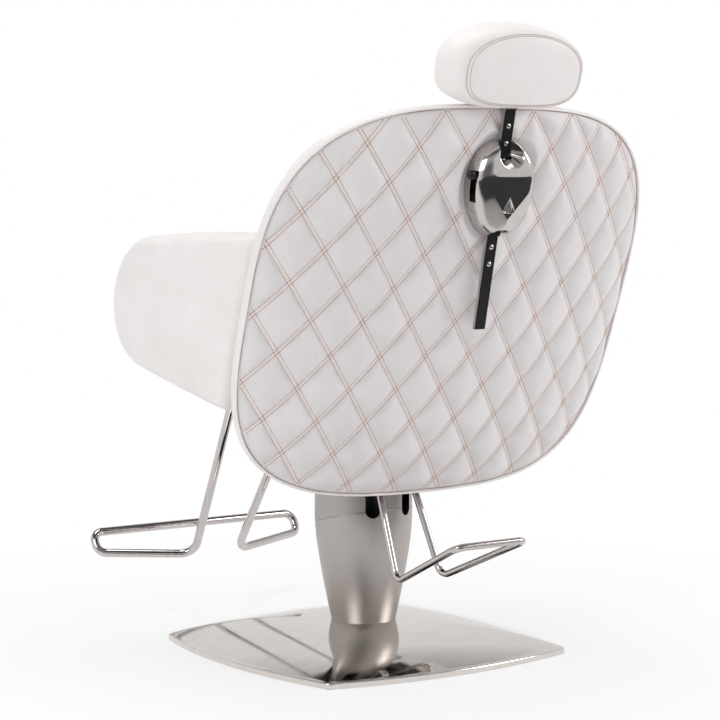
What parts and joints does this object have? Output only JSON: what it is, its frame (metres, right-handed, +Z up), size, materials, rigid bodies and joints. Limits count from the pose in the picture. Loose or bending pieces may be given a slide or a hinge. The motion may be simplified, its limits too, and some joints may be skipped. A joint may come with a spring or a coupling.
{
  "type": "hydraulic reclining threading chair",
  "caption": "Reclining salon chair on a hydraulic column: quilted barrel back, padded arms, sliding headrest, chrome footrest and foot pump pedal.",
  "frame": {"origin": "on the floor, at the axis of the pump column", "axes": "+Z up; the chair faces -Y; +X is the sitter's left"},
  "size_m": [0.7864, 1.0395, 1.0717],
  "materials": {
    "smooth_leather": "smooth bone-white leatherette, satin",
    "quilted_leather": "diamond-quilted bone leatherette with tan stitching",
    "stainless": "brushed round the column",
    "mirror_steel": "mirror polished stainless pressing",
    "chrome_tube": "bright chrome plate",
    "cast_aluminium": "cast and polished",
    "bar_steel": "satin flat bar",
    "strip_black": "black strip, satin",
    "frame_paint": "black powder coat",
    "zinc": "bright zinc plate",
    "plywood": "birch plywood",
    "base_iron": "black primed plate",
    "grip_plastic": "soft black plastic"
  },
  "bodies": {
    "base": {"base_plate": "base_iron", "base_cover": "mirror_steel", "pump_body": "frame_paint", "pump_bolts": "zinc", "pump_head": "frame_paint", "column_cover": "stainless", "column_collar": "stainless", "collar_cap": "frame_paint"},
    "pedal": {"pedal": "chrome_tube", "pedal_shaft": "zinc"},
    "lift": {"piston_rod": "chrome_tube"},
    "seat": {"seat_plate": "frame_paint", "seat_bolts": "zinc", "front_rail": "frame_paint", "rear_rail": "frame_paint", "front_cross_rail": "frame_paint", "rear_cross_rail": "frame_paint", "left_foot_rail": "frame_paint", "right_foot_rail": "frame_paint", "left_rail": "frame_paint", "right_rail": "frame_paint", "seat_board": "plywood", "seat_cushion": "smooth_leather", "left_armrest": "smooth_leather", "right_armrest": "smooth_leather", "left_arm_plate": "frame_paint", "right_arm_plate": "frame_paint", "arm_bolts": "zinc", "footrest": "chrome_tube", "footrest_sockets": "chrome_tube", "socket_screws": "zinc", "left_hinge_plate": "frame_paint", "right_hinge_plate": "frame_paint", "hinge_pins": "zinc", "gas_anchor": "frame_paint"},
    "recline_lever": {"recline_lever": "frame_paint", "lever_grip": "grip_plastic"},
    "gas_cylinder": {"gas_cylinder": "frame_paint"},
    "gas_rod": {"gas_rod": "chrome_tube"},
    "back": {"left_back_bracket": "frame_paint", "right_back_bracket": "frame_paint", "bracket_screws": "zinc", "crank_pin": "zinc", "back_board": "plywood", "back_band": "smooth_leather", "back_panel": "quilted_leather", "back_cushion": "smooth_leather", "lock_base": "bar_steel", "lock_housing": "cast_aluminium", "lock_screws": "zinc", "lock_clamp": "zinc"},
    "lock_lever": {"lock_lever": "chrome_tube", "lever_knob": "grip_plastic"},
    "head_bar": {"head_bar": "bar_steel", "bar_strip": "strip_black", "bar_studs": "chrome_tube", "headrest_tongue": "bar_steel"},
    "headrest": {"tilt_pin": "zinc", "headrest_fork": "frame_paint", "headrest_pad": "smooth_leather"}
  },
  "joints": [
    {"name": "lift_slide", "type": "slide", "parent": "base", "child": "lift", "axis": [0, 0, 1], "range_m": [0, 0.13]},
    {"name": "seat_swivel", "type": "hinge", "parent": "lift", "child": "seat", "pos_m": [0, 0, 0.43], "axis": [0, 0, 1], "continuous": true},
    {"name": "back_recline", "type": "hinge", "parent": "seat", "child": "back", "pos_m": [0, 0.14, 0.362], "axis": [-1, 0, 0], "range_deg": [0, 30]},
    {"name": "gas_swing", "type": "hinge", "parent": "seat", "child": "gas_cylinder", "pos_m": [0.14, -0.12, 0.385], "axis": [1, 0, 0], "range_deg": [0, 0.9]},
    {"name": "gas_slide", "type": "slide", "parent": "gas_cylinder", "child": "gas_rod", "axis": [0, 0.9599, -0.2803], "range_m": [-0.027, 0]},
    {"name": "bar_slide", "type": "slide", "parent": "back", "child": "head_bar", "axis": [0, 0.2147, 0.9767], "range_m": [0, 0.12]},
    {"name": "headrest_tilt", "type": "hinge", "parent": "head_bar", "child": "headrest", "pos_m": [0, 0.4093, 0.96], "axis": [-1, 0, 0], "range_deg": [0, 20]},
    {"name": "pedal_press", "type": "hinge", "parent": "base", "child": "pedal", "pos_m": [0, 0.07, 0.355], "axis": [-1, 0, 0], "range_deg": [0, 15], "stiffness_Nm_per_rad": 12, "springref_deg": -17.19},
    {"name": "lever_lift", "type": "hinge", "parent": "seat", "child": "recline_lever", "pos_m": [-0.24, -0.145, 0.4555], "axis": [-1, 0, 0], "range_deg": [0, 15], "stiffness_Nm_per_rad": 0.6, "springref_deg": -17.19},
    {"name": "lock_turn", "type": "hinge", "parent": "back", "child": "lock_lever", "pos_m": [0.024, 0.3846, 0.8081], "axis": [0, 0.9767, -0.2147], "range_deg": [0, 45]}
  ],
  "couplings": [
    {"joint": "gas_swing", "follows": "back_recline", "ratio": 0.028},
    {"joint": "gas_slide", "follows": "back_recline", "m_per_rad": -0.0505}
  ]
}
